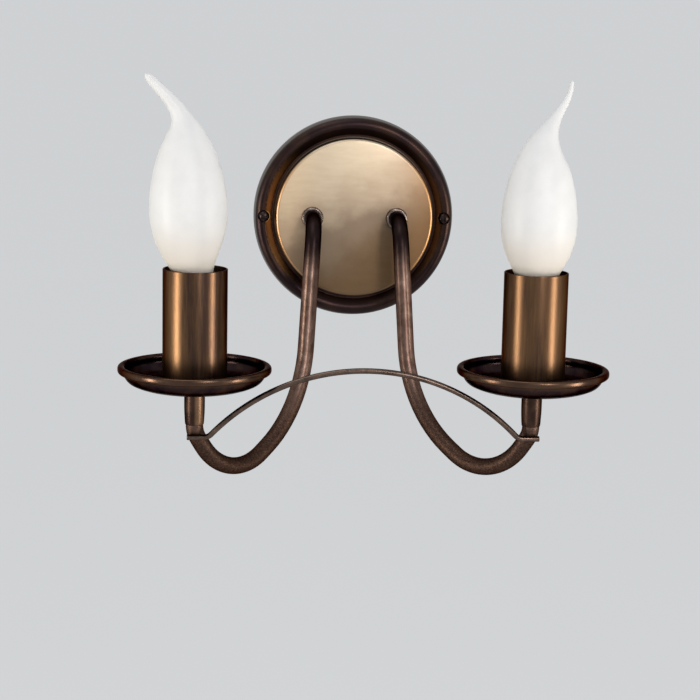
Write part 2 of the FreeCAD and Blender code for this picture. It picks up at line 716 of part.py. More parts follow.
def bulb_hollow(side):
    """The space inside the body, from the open neck to the root of the tip."""
    x = SIDES[side] * CANDLE_X
    points = [(radius - GLASS_WALL, z) for radius, z in BULB_BODY] + list(BULB_CROWN)
    curve = Part.BSplineCurve()
    curve.interpolate([from_wall(x + radius, CANDLE_OUT, z) for radius, z in points])
    foot = from_wall(x, CANDLE_OUT, curve.StartPoint.z)
    outline = Part.Wire([
        Part.makeLine(foot, curve.StartPoint), curve.toShape(), Part.makeLine(curve.EndPoint, foot)])
    return Part.Face(outline).revolve(foot, UP, 360)


def bulb_glass(side):
    """A shell with a bent tip, open at the neck, where the stem closes it."""
    body = [(z, 0.0, radius, 0.0) for radius, z in BULB_BODY]
    rings = [bulb_ring(side, station) for station in body + list(BULB_TIPS[side])]
    return Part.makeLoft(rings, True, False).cut(bulb_hollow(side))


def bulb_stem(side):
    """A flared stem, two support wires and the filament between them."""
    x = SIDES[side] * CANDLE_X
    neck_radius, neck_z = BULB_BODY[0]
    seal = neck_radius - GLASS_WALL
    stem = turned_upright([
        (0.0, neck_z),
        (seal, neck_z),
        (seal - 0.4, neck_z + 1.5, 0.5),
        (STEM_RADIUS, neck_z + 8.0, 4.0),
        (STEM_RADIUS - 1.2, STEM_TOP, 1.0),
        (0.0, STEM_TOP),
    ], side)
    tips = []
    for sign in SIDES.values():
        wire = [
            from_wall(x + sign * 1.4, CANDLE_OUT, STEM_TOP - 2.0),
            from_wall(x + sign * 1.4, CANDLE_OUT, STEM_TOP + 3.0),
            from_wall(x + sign * FILAMENT_SPREAD, CANDLE_OUT, FILAMENT_Z),
        ]
        stem = stem.fuse(bent_bar(wire, 2.0, 0.3))
        tips.append(wire[-1])
    top = from_wall(x, CANDLE_OUT, FILAMENT_Z + 3.0)
    arc = Part.Arc(tips[0], top, tips[1]).toShape()
    return stem.fuse(tube_along([arc], 0.3))


def bulb_cap(side):
    inner = CAP_THREAD_RADIUS - CAP_SHEET
    skirt_inner = CAP_SKIRT_RADIUS - CAP_SHEET
    return turned_upright([
        (inner, CAP_BOTTOM),
        (CAP_THREAD_RADIUS, CAP_BOTTOM),
        (CAP_THREAD_RADIUS, CAP_SHOULDER - 1.2, 0.5),
        (CAP_SKIRT_RADIUS, CAP_SHOULDER, 0.5),
        (CAP_SKIRT_RADIUS, CAP_TOP),
        (skirt_inner, CAP_TOP),
        (skirt_inner, CAP_SHOULDER + 0.2, 0.3),
        (inner, CAP_SHOULDER - 1.0, 0.3),
    ], side)


def bulb_insulator(side):
    inner = CAP_THREAD_RADIUS - CAP_SHEET - 0.05
    return turned_upright([
        (0.0, CAP_BOTTOM + 1.5),
        (inner, CAP_BOTTOM + 1.5),
        (inner, CAP_BOTTOM, 0.3),
        (CONTACT_RADIUS + 0.4, INSULATOR_BOTTOM, 0.4),
        (0.0, INSULATOR_BOTTOM),
    ], side)


def bulb_contact(side):
    return turned_upright([
        (0.0, INSULATOR_BOTTOM),
        (CONTACT_RADIUS, INSULATOR_BOTTOM),
        (CONTACT_RADIUS, CONTACT_BOTTOM, 0.9),
        (0.0, CONTACT_BOTTOM),
    ], side)


SHARED_NODES = (
    wall_bracket, canopy, canopy_screws, terminal_block, terminal_inserts, terminal_screw,
    earth_screw, earth_lead, arm_collars, arm_washers, arm_nuts, tie_rod, pan_nuts,
)
PAIRED_NODES = (
    arm, lead, ferrule, pan, holder_strap, lampholder, thread_shell, centre_contact, sleeve,
    bulb_glass, bulb_stem, bulb_cap, bulb_insulator, bulb_contact,
)


def main():
    os.makedirs("parts", exist_ok=True)
    for make in SHARED_NODES:
        export(make(), make.__name__)
    for side in SIDES:
        for make in PAIRED_NODES:
            export(make(side), side + "_" + make.__name__)


main()
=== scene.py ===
import bmesh
import bpy
import math
from mathutils import Matrix, Vector


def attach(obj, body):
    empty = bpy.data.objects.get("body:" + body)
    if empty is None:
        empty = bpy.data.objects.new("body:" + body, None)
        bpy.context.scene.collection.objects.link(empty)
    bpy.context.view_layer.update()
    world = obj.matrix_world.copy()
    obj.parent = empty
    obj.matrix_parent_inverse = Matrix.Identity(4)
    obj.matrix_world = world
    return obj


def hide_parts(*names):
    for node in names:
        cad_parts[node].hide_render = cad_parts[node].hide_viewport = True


# Double arm wall sconce: the looks of the visible metalwork, the bulbs, the light and the camera.
# Shapes are drawn in millimetres and brought to metres when a piece is finished.

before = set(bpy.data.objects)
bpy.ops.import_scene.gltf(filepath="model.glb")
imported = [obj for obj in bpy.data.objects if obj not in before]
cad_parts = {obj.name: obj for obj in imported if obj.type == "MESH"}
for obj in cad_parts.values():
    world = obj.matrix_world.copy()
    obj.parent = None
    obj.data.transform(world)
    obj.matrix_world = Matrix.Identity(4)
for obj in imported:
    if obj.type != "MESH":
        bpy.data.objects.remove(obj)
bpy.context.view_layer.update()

MM = 0.001
SIDES = {"left": -1, "right": 1}
QUARTER_TURN = math.radians(90)
CANDLE_X = 77.8
CANDLE_OUT = 102.7
ARM_X = 21.0
DISC_HEIGHT = 15.0
SCREW_X = 45.2
SCREW_SEAT_HEIGHT = 10.3
PAN_BOTTOM = -69.4
PAN_SHEET = 0.9


# Shapes

MERGE_DISTANCE = 1e-4
ON_RING = 1e-3


def from_wall(x, out, z):
    """A point given by its distance from the wall, in millimetres."""
    return Vector((x, -out, z))


def candle_axis(side):
    """Stands an upright turning on a candle's axis."""
    return Matrix.Translation(from_wall(SIDES[side] * CANDLE_X, CANDLE_OUT, 0))


def wall_axis(x):
    """Stands an upright turning out from the wall."""
    return Matrix.Translation(from_wall(x, 0, 0)) @ Matrix.Rotation(QUARTER_TURN, 4, "X")


def turned(profile, place, segments=96, closed=True):
    """Spins (radius, height) points into a solid, then rounds the corners that give a rounding."""
    bm = bmesh.new()
    points = [bm.verts.new((point[0], 0, point[1])) for point in profile]
    pairs = list(zip(points, points[1:]))
    if closed:
        pairs.append((points[-1], points[0]))
    edges = [bm.edges.new(pair) for pair in pairs]
    bmesh.ops.spin(
        bm, geom=points + edges, cent=(0, 0, 0), axis=(0, 0, 1), dvec=(0, 0, 0),
        angle=math.tau, steps=segments, use_merge=True, use_duplicate=False)
    bmesh.ops.remove_doubles(bm, verts=bm.verts, dist=MERGE_DISTANCE)
    bmesh.ops.recalc_face_normals(bm, faces=bm.faces)
    for point in profile:
        if len(point) > 2:
            round_ring(bm, *point)
    bmesh.ops.transform(bm, matrix=place, verts=bm.verts)
    return bm


def round_ring(bm, radius, height, rounding, steps=5):
    """Bevels the one ring of edges at this radius and height."""
    def on_ring(vert):
        aside = abs(math.hypot(vert.co.x, vert.co.y) - radius)
        return aside < ON_RING and abs(vert.co.z - height) < ON_RING
    ring = [edge for edge in bm.edges if on_ring(edge.verts[0]) and on_ring(edge.verts[1])]
    bmesh.ops.bevel(
        bm, geom=ring, offset=rounding, offset_type="OFFSET", segments=steps, profile=0.5,
        affect="EDGES", material=-1, clamp_overlap=True)


def ring_at(bm, start, direction, radius, segments):
    """A ring of edges square to a direction."""
    turn = direction.to_track_quat("Z", "Y").to_matrix().to_4x4()
    made = bmesh.ops.create_circle(
        bm, radius=radius, segments=segments, cap_ends=False, matrix=Matrix.Translation(start) @ turn)
    verts = made["verts"]
    return verts + list({edge for vert in verts for edge in vert.link_edges})


def edges_of(parts):
    return [part for part in parts if isinstance(part, bmesh.types.BMEdge)]


def verts_of(parts):
    return [part for part in parts if isinstance(part, bmesh.types.BMVert)]


def pushed(bm, ring, step=(0, 0, 0)):
    """Draws a ring straight along a step and gives the new ring."""
    made = bmesh.ops.extrude_edge_only(bm, edges=edges_of(ring))["geom"]
    verts = verts_of(made)
    bmesh.ops.translate(bm, verts=verts, vec=step)
    return verts + [edge for edge in edges_of(made) if all(vert in verts for vert in edge.verts)]


def drawn_along(bm, ring, corners, bends, degrees_per_step=4.0):
    """Draws a ring along straight runs joined by round bends, and gives the last ring."""
    here = corners[0]
    for before, corner, after, bend in zip(corners, corners[1:], corners[2:], bends):
        back = (before - corner).normalized()
        ahead = (after - corner).normalized()
        half = back.angle(ahead) / 2
        start = corner + back * bend / math.tan(half)
        centre = corner + (back + ahead).normalized() * bend / math.sin(half)
        ring = pushed(bm, ring, start - here)
        turn = math.pi - 2 * half
        made = bmesh.ops.spin(
            bm, geom=ring, cent=centre, axis=(-back).cross(ahead), dvec=(0, 0, 0), angle=turn,
            steps=max(3, round(math.degrees(turn) / degrees_per_step)), use_duplicate=False)
        ring = made["geom_last"]
        here = corner + ahead * bend / math.tan(half)
    return pushed(bm, ring, corners[-1] - here)


def finished(bm, name, material, body, slot, *nodes, sharp=35):
    """Turns a shape into a piece that rides on a body and stands for its CAD nodes."""
    bmesh.ops.remove_doubles(bm, verts=bm.verts, dist=MERGE_DISTANCE)
    bmesh.ops.recalc_face_normals(bm, faces=bm.faces)
    bmesh.ops.scale(bm, vec=(MM, MM, MM), verts=bm.verts)
    mesh = bpy.data.meshes.new(name)
    bm.to_mesh(mesh)
    bm.free()
    mesh.shade_smooth()
    mesh.set_sharp_from_angle(angle=math.radians(sharp))
    mesh.materials.append(material)
    piece = bpy.data.objects.new(name, mesh)
    bpy.context.scene.collection.objects.link(piece)
    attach(piece, body)
    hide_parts(*nodes)
    return piece


# Finishes

def fresh(name):
    """A new material with its node tree, its shader and its object coordinates."""
    material = bpy.data.materials.new(name)
    material.use_nodes = True
    tree = material.node_tree
    tree.nodes.clear()
    shader = tree.nodes.new("ShaderNodeBsdfPrincipled")
    output = tree.nodes.new("ShaderNodeOutputMaterial")
    tree.links.new(shader.outputs["BSDF"], output.inputs["Surface"])
    place = tree.nodes.new("ShaderNodeTexCoord").outputs["Object"]
    return material, tree, shader, place


def spotted(tree, place, grains_per_metre, stretch=(1, 1, 1), detail=4.0):
    """Noise on object coordinates, stretched by a mapping."""
    mapping = tree.nodes.new("ShaderNodeMapping")
    mapping.inputs["Scale"].default_value = stretch
    noise = tree.nodes.new("ShaderNodeTexNoise")
    noise.inputs["Scale"].default_value = grains_per_metre
    noise.inputs["Detail"].default_value = detail
    noise.inputs["Roughness"].default_value = 0.55
    tree.links.new(place, mapping.inputs["Vector"])
    tree.links.new(mapping.outputs["Vector"], noise.inputs["Vector"])
    return noise.outputs["Fac"]


def graded(tree, value, stops):
    """A soft colour ramp through (position, colour) stops."""
    ramp = tree.nodes.new("ShaderNodeValToRGB")
    ramp.color_ramp.interpolation = "EASE"
    elements = ramp.color_ramp.elements
    while len(elements) < len(stops):
        elements.new(0.5)
    for element, (position, colour) in zip(elements, stops):
        element.position = position
        element.color = (*colour, 1)
    tree.links.new(value, ramp.inputs["Fac"])
    return ramp.outputs["Color"]


def ranged(tree, value, low, high, to_low, to_high):
    """Maps a value from one range to another, smoothly and clamped."""
    step = tree.nodes.new("ShaderNodeMapRange")
    step.interpolation_type = "SMOOTHSTEP"
    for name, number in (("From Min", low), ("From Max", high), ("To Min", to_low), ("To Max", to_high)):
        step.inputs[name].default_value = number
    tree.links.new(value, step.inputs["Value"])
    return step.outputs["Result"]


def worked(tree, operation, first, second=0):
    """One math node on sockets or numbers."""
    step = tree.nodes.new("ShaderNodeMath")
    step.operation = operation
    for socket, value in zip(step.inputs, (first, second)):
        if isinstance(value, (int, float)):
            socket.default_value = value
        else:
            tree.links.new(value, socket)
    return step.outputs["Value"]


def product(tree, first, *others):
    """Sockets or numbers multiplied in turn."""
    for other in others:
        first = worked(tree, "MULTIPLY", first, other)
    return first


def blended(tree, factor, first, second, mode="MIX"):
    """Mixes the second colour over the first, or multiplies by it."""
    step = tree.nodes.new("ShaderNodeMix")
    step.data_type = "RGBA"
    step.blend_type = mode
    for socket, value in ((step.inputs["Factor"], factor), (step.inputs[6], first), (step.inputs[7], second)):
        if isinstance(value, (int, float)):
            socket.default_value = value
        elif isinstance(value, tuple):
            socket.default_value = (*value, 1)
        else:
            tree.links.new(value, socket)
    return step.outputs[2]


def embossed(tree, shader, height, depth, strength=0.5):
    """Fine relief from a height, with its depth in metres."""
    bump = tree.nodes.new("ShaderNodeBump")
    bump.inputs["Strength"].default_value = strength
    bump.inputs["Distance"].default_value = depth
    tree.links.new(height, bump.inputs["Height"])
    tree.links.new(bump.outputs["Normal"], shader.inputs["Normal"])


def axis_of(tree, place, axis):
    """The X, Y or Z of the object coordinates."""
    split = tree.nodes.new("ShaderNodeSeparateXYZ")
    tree.links.new(place, split.inputs["Vector"])
    return split.outputs[axis]


EDGE_TINT = (0.29, 0.24, 0.22, 1)


def dark_edged_metal(shader):
    """Metal whose patina darkens what it mirrors at a glancing angle."""
    shader.inputs["Metallic"].default_value = 1
    shader.inputs["Specular Tint"].default_value = EDGE_TINT


FAINT_RELIEF = 0.00001
SPECK_FINENESS = 7
LACQUER_ROUGHNESS = 0.2


def aged_bronze(name, dark, warm, bright, grain=220, stretch=(1, 1, 1), rough=(0.25, 0.34), lacquer=0.0):
    """Antiqued bronze: a dark coat, worn through to warmer metal in cloudy patches."""
    material, tree, shader, place = fresh(name)
    clouds = spotted(tree, place, grain, stretch)
    specks = spotted(tree, place, grain * SPECK_FINENESS, stretch, detail=2.0)
    worn = worked(tree, "ADD", product(tree, clouds, 0.75), product(tree, specks, 0.25))
    colour = graded(tree, worn, ((0.36, dark), (0.52, warm), (0.68, bright)))
    tree.links.new(colour, shader.inputs["Base Color"])
    tree.links.new(ranged(tree, clouds, 0.35, 0.65, *rough), shader.inputs["Roughness"])
    embossed(tree, shader, clouds, FAINT_RELIEF)
    dark_edged_metal(shader)
    shader.inputs["Coat Weight"].default_value = lacquer
    shader.inputs["Coat Roughness"].default_value = LACQUER_ROUGHNESS
    return material


# The backplate's finish follows the distance from its centre, in radii of 50 mm.
RADII_PER_METRE = 20
WORN_EDGE = 0.0012
# Painted light: the disc's champagne runs paler towards the top and browner towards the foot.
DISC_TONES_AND_PAINTED_LIGHT = (
    (0.0, (0.18, 0.112, 0.061)), (0.45, (0.285, 0.21, 0.147)), (0.72, (0.465, 0.362, 0.258)),
    (1.0, (0.60, 0.495, 0.36)))
DRAWN_BROWN = (0.30, 0.19, 0.10)
# Painted shade: browns the right-hand part of the disc.
PAINTED_RIGHT_SHADE = (0.30, 0.165, 0.075)
# Painted light: brightens the left-hand part of the disc.
PAINTED_LEFT_LIGHT = (1.28, 1.20, 1.12)
# Painted highlight: gold on the disc's rounded edge at the left and right.
PAINTED_DISC_EDGE_HIGHLIGHT = (0.62, 0.33, 0.14)
# Painted highlight: gold on the rim's inner slope, mostly on the left.
PAINTED_SLOPE_HIGHLIGHT = (0.60, 0.30, 0.11)
GROOVE_BLACK = (0.014, 0.008, 0.008)
RIM_TONES = (
    (0.80, GROOVE_BLACK), (0.84, (0.065, 0.032, 0.02)), (0.90, (0.036, 0.021, 0.02)),
    (0.965, (0.030, 0.02, 0.02)), (1.0, (0.11, 0.08, 0.055)))
RIM_DARK = (0.022, 0.013, 0.015)
RIM_BROWN = (0.055, 0.030, 0.020)


def distance_from_plate_axis(tree, place):
    """How far a point is from the line through the backplate's centre, square to the wall."""
    flat = tree.nodes.new("ShaderNodeMapping")
    flat.inputs["Scale"].default_value = (1, 0, 1)
    tree.links.new(place, flat.inputs["Vector"])
    length = tree.nodes.new("ShaderNodeVectorMath")
    length.operation = "LENGTH"
    tree.links.new(flat.outputs["Vector"], length.inputs[0])
    return length.outputs["Value"]


def disc_colour(tree, height, across, clouds, drawn):
    """Painted light: pale at the top and brown at the foot, with painted shade on the right and painted light
    on the left.
    """
    # Painted light: the tone rises with the height and towards the left.
    shade = worked(tree, "ADD", height, product(tree, across, -0.52))
    shade = worked(tree, "ADD", shade, product(tree, worked(tree, "SUBTRACT", clouds, 0.5), 0.03))
    disc = graded(tree, ranged(tree, shade, -0.040, 0.036, 0, 1), DISC_TONES_AND_PAINTED_LIGHT)
    disc = blended(tree, ranged(tree, drawn, 0.35, 0.7, 0, 0.12), disc, DRAWN_BROWN)
    # Painted shade browns the right of the disc.
    disc = blended(tree, ranged(tree, across, 0.016, 0.038, 0, 0.62), disc, PAINTED_RIGHT_SHADE)
    # Painted light brightens the left of the disc.
    return blended(tree, ranged(tree, across, -0.036, -0.012, 1, 0), disc, PAINTED_LEFT_LIGHT, "MULTIPLY")


def backplate_bronze():
    """Champagne disc with painted light from top to foot and a painted golden highlight on its edge, a black
    groove and a dark moulded rim.
    """
    material, tree, shader, place = fresh("antique bronze backplate")
    height = axis_of(tree, place, "Z")
    across = axis_of(tree, place, "X")
    clouds = spotted(tree, place, 55, detail=5.0)
    specks = spotted(tree, place, 900, detail=3.0)
    drawn = spotted(tree, place, 260, (0.35, 1, 1.6), detail=3.0)
    distance = distance_from_plate_axis(tree, place)
    ragged = product(tree, worked(tree, "SUBTRACT", specks, 0.5), WORN_EDGE)
    radius = product(tree, distance, RADII_PER_METRE)
    worn_radius = product(tree, worked(tree, "ADD", distance, ragged), RADII_PER_METRE)

    # Painted highlights: the inner slope and the disc's edge are painted gold at the height of the screws.
    screw_height = ranged(tree, worked(tree, "ABSOLUTE", height), 0.016, 0.034, 1, 0)
    left_half = ranged(tree, across, -0.01, 0.01, 1, 0.25)
    slope = product(tree, ranged(tree, worn_radius, 0.82, 0.85, 0, 1),
                    ranged(tree, worn_radius, 0.87, 0.90, 1, 0))
    moulding = blended(tree, ranged(tree, clouds, 0.42, 0.62, 0, 1), RIM_DARK, RIM_BROWN)
    outside = blended(tree, 0.45, graded(tree, worn_radius, RIM_TONES), moulding)
    # Painted highlight on the inner slope, strongest on the left.
    outside = blended(tree, product(tree, slope, screw_height, left_half), outside, PAINTED_SLOPE_HIGHLIGHT)

    disc = disc_colour(tree, height, across, clouds, drawn)
    # Painted highlight: the disc's edge turns gold at the left and right.
    painted_edge_light = product(tree, ranged(tree, radius, 0.752, 0.772, 0, 0.8), screw_height)
    inside = blended(tree, painted_edge_light, disc, PAINTED_DISC_EDGE_HIGHLIGHT)
    inside = blended(tree, ranged(tree, radius, 0.770, 0.790, 0, 0.9), inside, GROOVE_BLACK)

    on_disc = ranged(tree, radius, 0.800, 0.806, 1, 0)
    tree.links.new(blended(tree, on_disc, outside, inside), shader.inputs["Base Color"])
    tree.links.new(ranged(tree, radius, 0.74, 0.80, 0.42, 0.36), shader.inputs["Roughness"])
    embossed(tree, shader, worked(tree, "ADD", drawn, specks), depth=0.00003)
    shader.inputs["Metallic"].default_value = 1
    return material


# Painted shade: near black on the tube's top bends by the disc.
PAINTED_TOP_BEND_SHADE = (0.013, 0.008, 0.009)


def tube_bronze():
    """Polished on the long falls, near black with painted shade at the top bends, and mottled brown on the
    low ones.
    """
    material, tree, shader, place = fresh("antique bronze tube")
    height = axis_of(tree, place, "Z")
    clouds = spotted(tree, place, 190)
    specks = spotted(tree, place, 1300, detail=2.0)
    polished = graded(tree, clouds, (
        (0.35, (0.13, 0.078, 0.061)), (0.52, (0.19, 0.118, 0.092)), (0.7, (0.26, 0.175, 0.14))))
    mottled = graded(tree, specks, (
        (0.34, (0.042, 0.024, 0.019)), (0.52, (0.072, 0.041, 0.03)), (0.7, (0.11, 0.066, 0.045))))
    colour = blended(tree, ranged(tree, height, -0.098, -0.066, 1, 0), polished, mottled)
    # Painted shade: the top bends darken to near black.
    colour = blended(tree, ranged(tree, height, -0.030, -0.010, 0, 0.95), colour, PAINTED_TOP_BEND_SHADE)
    tree.links.new(colour, shader.inputs["Base Color"])
    tree.links.new(ranged(tree, height, -0.098, -0.060, 0.5, 0.35), shader.inputs["Roughness"])
    embossed(tree, shader, specks, depth=0.00004)
    dark_edged_metal(shader)
    return material


def distance_from_candle(tree, place):
    """How far a point of either candle is from its own upright axis."""
    aside = worked(tree, "SUBTRACT", worked(tree, "ABSOLUTE", axis_of(tree, place, "X")), CANDLE_X * MM)
    out = worked(tree, "ADD", axis_of(tree, place, "Y"), CANDLE_OUT * MM)
    squares = worked(tree, "ADD", product(tree, aside, aside), product(tree, out, out))
    return worked(tree, "POWER", squares, 0.5)


def pan_bronze():
    """Painted shade darkens the dish and underneath, and painted light makes the rolled edge warmer, which
    brightens its highlights.
    """
    material, tree, shader, place = fresh("antique bronze pan")
    clouds = spotted(tree, place, 120)
    # Painted shade: the dish and underside take a darker copy of the metal.
    dish = graded(tree, clouds, (
        (0.36, (0.018, 0.011, 0.014)), (0.52, (0.030, 0.018, 0.019)), (0.68, (0.052, 0.029, 0.021))))
    edge = graded(tree, clouds, ((0.36, (0.075, 0.044, 0.031)), (0.6, (0.098, 0.057, 0.038))))
    # Painted light: the rolled edge takes a lighter copy, which brightens its highlights.
    painted_edge_light = ranged(tree, distance_from_candle(tree, place), 0.0318, 0.0330, 0, 1)
    tree.links.new(blended(tree, painted_edge_light, dish, edge), shader.inputs["Base Color"])
    tree.links.new(ranged(tree, clouds, 0.35, 0.65, 0.22, 0.3), shader.inputs["Roughness"])
    embossed(tree, shader, clouds, FAINT_RELIEF)
    dark_edged_metal(shader)
    return material


def ferrule_bronze():
    """Brown all round, with a painted highlight as a warm patch on the left one's inner front."""
    material, tree, shader, place = fresh("antique bronze ferrule")
    across = axis_of(tree, place, "X")
    clouds = spotted(tree, place, 150)
    brown = graded(tree, clouds, ((0.36, (0.040, 0.023, 0.018)), (0.64, (0.062, 0.036, 0.026))))
    warm = graded(tree, clouds, ((0.36, (0.15, 0.085, 0.050)), (0.64, (0.19, 0.11, 0.068))))
    # Painted highlight: a warm strip on the left ferrule's inner front.
    painted_highlight_patch = product(tree, ranged(tree, across, -0.0782, -0.0768, 0, 1),
                     ranged(tree, across, -0.0742, -0.0731, 1, 0))
    tree.links.new(blended(tree, painted_highlight_patch, brown, warm), shader.inputs["Base Color"])
    tree.links.new(ranged(tree, clouds, 0.35, 0.65, 0.33, 0.39), shader.inputs["Roughness"])
    embossed(tree, shader, clouds, FAINT_RELIEF)
    dark_edged_metal(shader)
    return material


def plain_stuff(name, low, high, grain, roughness, metal=0.0, **extra):
    """A moulded or plated finish with slight clouding and grain."""
    material, tree, shader, place = fresh(name)
    clouds = spotted(tree, place, grain)
    tree.links.new(graded(tree, clouds, ((0.35, low), (0.65, high))), shader.inputs["Base Color"])
    tree.links.new(ranged(tree, clouds, 0.3, 0.7, *roughness), shader.inputs["Roughness"])
    embossed(tree, shader, spotted(tree, place, grain * 5), depth=0.00003)
    shader.inputs["Metallic"].default_value = metal
    for socket, value in extra.items():
        shader.inputs[socket.replace("_", " ")].default_value = value
    return material


def frosted_glass():
    """Opal white envelope, satin frosted."""
    material, tree, shader, place = fresh("frosted bulb glass")
    clouds = spotted(tree, place, 140)
    white = graded(tree, clouds, ((0.3, (0.875, 0.90, 0.93)), (0.7, (0.91, 0.935, 0.965))))
    low = ranged(tree, axis_of(tree, place, "Z"), -0.015, 0.012, 1, 0)
    tree.links.new(blended(tree, low, white, (0.92, 0.87, 0.80)), shader.inputs["Base Color"])
    tree.links.new(ranged(tree, clouds, 0.3, 0.7, 0.42, 0.5), shader.inputs["Roughness"])
    embossed(tree, shader, spotted(tree, place, 600), depth=0.000004, strength=0.3)
    return material


BACKPLATE_BRONZE = backplate_bronze()
TUBE_BRONZE = tube_bronze()
PAN_BRONZE = pan_bronze()
SLEEVE_BRONZE = aged_bronze(
    "antique bronze sleeve", (0.065, 0.038, 0.028), (0.12, 0.066, 0.036), (0.165, 0.092, 0.046), 160,
    (1, 1, 0.08), rough=(0.28, 0.34))
FERRULE_BRONZE = ferrule_bronze()
COLLAR_BRONZE = aged_bronze(
    "turned bronze collar", (0.08, 0.06, 0.055), (0.20, 0.155, 0.135), (0.40, 0.33, 0.29), lacquer=0.5)
ROD_BRONZE = aged_bronze(
    "tie bar bronze", (0.085, 0.060, 0.050), (0.13, 0.09, 0.07), (0.19, 0.135, 0.105), 200)
SCREW_BRONZE = aged_bronze(
    "dark screw bronze", (0.02, 0.014, 0.014), (0.04, 0.028, 0.026), (0.09, 0.06, 0.05), 400)
FROSTED_GLASS = frosted_glass()


# Backplate

# Radius, distance from the wall and rounding: the outside from the wall to the disc, then the inside back.
BACKPLATE_PROFILE = (
    (50.2, 0.0), (50.2, 4.6, 0.24), (49.3, 10.2, 1.28), (45.9, 12.3, 1.98), (41.2, 9.0, 0.16),
    (39.5, 9.0, 0.3), (39.5, DISC_HEIGHT, 1.7), (0.0, DISC_HEIGHT),
    (0.0, 13.8), (38.3, 13.8, 0.5), (38.3, 7.8, 1.5), (41.58, 7.8, 0.54), (45.94, 10.86, 1.19),
    (48.2, 9.47, 0.73), (49.0, 4.5, 0.14), (49.0, 0.0))
SCREW_SEAT_RADIUS = 3.1
SCREW_SEAT_UNDERSIDE = 9.1
SCREW_HOLE_RADIUS = 1.75
TUBE_HOLE_RADIUS = 4.1
HOLE_START = 5.0
HOLE_END = 20.0
BACKPLATE_SHARPNESS = 30


def backplate():
    """The spun shell: half-round rim, groove and raised disc, seated for the screws and pierced."""
    shell = turned(BACKPLATE_PROFILE, wall_axis(0), segments=192)
    piece = finished(
        shell, "backplate", BACKPLATE_BRONZE, "sconce", "backplate_bronze", "canopy",
        sharp=BACKPLATE_SHARPNESS)
    for sign in SIDES.values():
        screw_x, tube_x = sign * SCREW_X, sign * ARM_X
        shaped(piece, "DIFFERENCE", drill(screw_x, SCREW_SEAT_RADIUS, SCREW_SEAT_HEIGHT, HOLE_END))
        shaped(piece, "UNION", drill(screw_x, SCREW_SEAT_RADIUS, SCREW_SEAT_UNDERSIDE, SCREW_SEAT_HEIGHT))
        shaped(piece, "DIFFERENCE", drill(screw_x, SCREW_HOLE_RADIUS, HOLE_START, HOLE_END))
        shaped(piece, "DIFFERENCE", drill(tube_x, TUBE_HOLE_RADIUS, HOLE_START, HOLE_END))
    piece.data.set_sharp_from_angle(angle=math.radians(BACKPLATE_SHARPNESS))


def drill(x, radius, start, end):
    """A short cylinder square to the wall, used only for cutting and for the seats."""
    bm = bmesh.new()
    middle = Matrix.Translation(from_wall(x, (start + end) / 2, 0) * MM)
    bmesh.ops.create_cone(
        bm, cap_ends=True, segments=48, radius1=radius * MM, radius2=radius * MM, depth=(end - start) * MM,
        matrix=middle @ Matrix.Rotation(QUARTER_TURN, 4, "X"))
    return cutter(bm)


def cutter(bm):
    """Turns a shape in metres into an object that only shapes others."""
    mesh = bpy.data.meshes.new("cutter")
    bm.to_mesh(mesh)
    bm.free()
    tool = bpy.data.objects.new("cutter", mesh)
    bpy.context.scene.collection.objects.link(tool)
    return tool


def shaped(piece, operation, tool):
    """Cuts a tool out of a piece, or joins it on, and throws the tool away."""
    change = piece.modifiers.new("change", "BOOLEAN")
    change.operation = operation
    change.solver = "EXACT"
    change.object = tool
    bpy.context.view_layer.update()
    depsgraph = bpy.context.evaluated_depsgraph_get()
    old = piece.data
    mesh = bpy.data.meshes.new_from_object(piece.evaluated_get(depsgraph))
    piece.modifiers.clear()
    piece.data = mesh
    bpy.data.meshes.remove(old)
    mesh.name = piece.name
    bpy.data.objects.remove(tool)


SCREW_HEAD_RADIUS = 2.8
SCREW_TOP = 13.6
SCREW_PROFILE = (
    (0.0, 2.0), (1.45, 2.0), (1.45, SCREW_SEAT_HEIGHT), (SCREW_HEAD_RADIUS, SCREW_SEAT_HEIGHT),
    (SCREW_HEAD_RADIUS, SCREW_TOP, 2.2), (0.0, SCREW_TOP))
SLOT_SIZE = (0.8, 2.4, 7.0)


def backplate_screws():
    """Two round heads with upright slots."""
    bm = bmesh.new()
    for sign in SIDES.values():
        joined(bm, turned(SCREW_PROFILE, wall_axis(sign * SCREW_X), segments=48, closed=False))
    piece = finished(bm, "backplate_screws", SCREW_BRONZE, "sconce", "screw_bronze", "canopy_screws")
    for sign in SIDES.values():
        shaped(piece, "DIFFERENCE", screw_slot(sign * SCREW_X))


def screw_slot(x):
    """A thin upright block across the top of a screw's head."""
    bm = bmesh.new()
    bmesh.ops.create_cube(bm, size=MM)
    bmesh.ops.scale(bm, vec=SLOT_SIZE, verts=bm.verts)
    bmesh.ops.translate(bm, vec=from_wall(x, SCREW_TOP, 0) * MM, verts=bm.verts)
    return cutter(bm)


def joined(bm, other):
    """Adds one shape to another."""
    mesh = bpy.data.meshes.new("part")
    other.to_mesh(mesh)
    other.free()
    bm.from_mesh(mesh)
    bpy.data.meshes.remove(mesh)


COLLAR_BORE = 4.05
COLLAR_PROFILE = (
    (COLLAR_BORE, DISC_HEIGHT), (5.4, DISC_HEIGHT), (5.4, DISC_HEIGHT + 1.6, 0.5),
    (4.9, DISC_HEIGHT + 2.4, 0.3), (COLLAR_BORE, DISC_HEIGHT + 2.4))


def tube_collars():
    """Turned rings on the disc, with a bright rounded shoulder."""
    bm = bmesh.new()
    for sign in SIDES.values():
        joined(bm, turned(COLLAR_PROFILE, wall_axis(sign * ARM_X), segments=64))
    finished(bm, "tube_collars", COLLAR_BRONZE, "sconce", "collar_bronze", "arm_collars")


# Tubes and the tie bar

